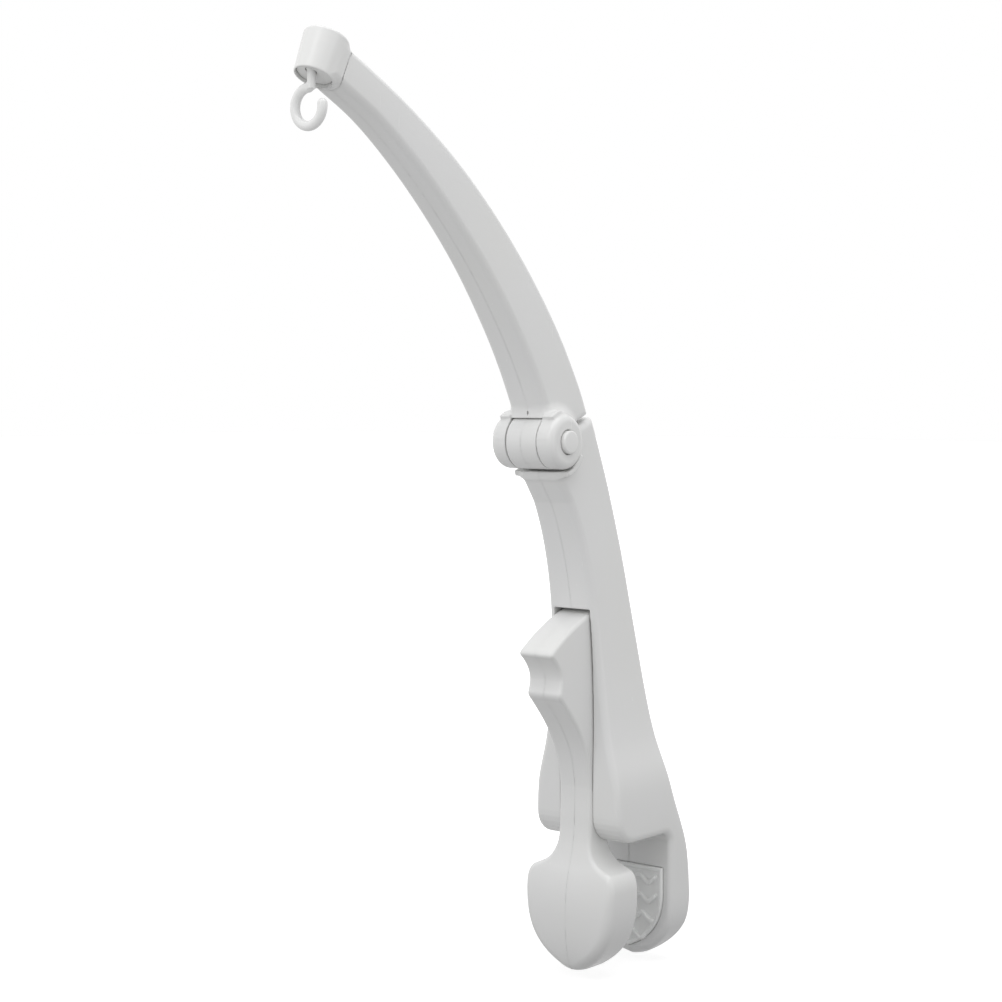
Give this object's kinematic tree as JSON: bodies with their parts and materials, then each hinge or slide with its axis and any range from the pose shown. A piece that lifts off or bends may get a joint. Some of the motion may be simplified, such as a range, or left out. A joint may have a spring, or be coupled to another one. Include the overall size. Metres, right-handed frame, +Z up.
{
  "type": "clamp-on mobile arm",
  "caption": "Curved clamp-on arm with a push-button folding hinge, a spring clamp for a rail and a small swivel hook at its tip.",
  "frame": {"origin": "middle of the flat that rests on top of the rail, between the two jaws", "axes": "+X the way the arm reaches, +Y to the side with the push button, +Z up"},
  "size_m": [0.292, 0.0626, 0.5089],
  "materials": {
    "white_shell": "white moulded plastic, glossy",
    "white_hook": "white acetal, glossy",
    "white_button": "white moulded plastic, glossy",
    "inner_plastic": "natural acetal",
    "pad_rubber": "soft translucent grey rubber",
    "steel": "zinc-plated steel"
  },
  "bodies": {
    "lower_body": {"lower_body_shell_right": "white_shell", "lower_body_shell_left": "white_shell", "lever_pivot_pin": "steel", "rear_jaw_pad": "pad_rubber", "body_screw_1": "steel", "body_screw_2": "steel", "body_screw_3": "steel", "body_screw_4": "steel", "body_screw_5": "steel", "lock_spring": "steel"},
    "upper_arm": {"upper_arm_shell_right": "white_shell", "upper_arm_shell_left": "white_shell", "tip_cap": "white_shell", "cap_plug": "white_shell", "hinge_pin": "steel", "hinge_cap": "white_shell", "arm_screw_1": "steel", "arm_screw_2": "steel", "arm_screw_3": "steel"},
    "button": {"fold_button": "white_button", "lock_hub": "inner_plastic"},
    "clamp_lever": {"lever_shell_right": "white_shell", "lever_shell_left": "white_shell", "front_jaw_pad": "pad_rubber", "lever_screw_1": "steel", "lever_screw_2": "steel", "clamp_spring": "steel"},
    "hook": {"swivel_hook": "white_hook"}
  },
  "joints": [
    {"name": "fold", "type": "hinge", "parent": "lower_body", "child": "upper_arm", "pos_m": [0.07, 0, 0.228], "axis": [0, 1, 0], "range_deg": [0, 125]},
    {"name": "button_press", "type": "slide", "parent": "lower_body", "child": "button", "axis": [0, -1, 0], "range_m": [0, 0.003], "stiffness_N_per_m": 900, "springref_m": -0.004, "deforming": ["lock_spring"]},
    {"name": "lever_squeeze", "type": "hinge", "parent": "lower_body", "child": "clamp_lever", "pos_m": [0.025, 0, 0.052], "axis": [0, -1, 0], "range_deg": [0, 14], "stiffness_Nm_per_rad": 2.2, "springref_deg": -34.38, "deforming": ["clamp_spring"]},
    {"name": "hook_swivel", "type": "hinge", "parent": "upper_arm", "child": "hook", "pos_m": [0.2449, 0, 0.4111], "axis": [0, 0, -1], "continuous": true}
  ]
}
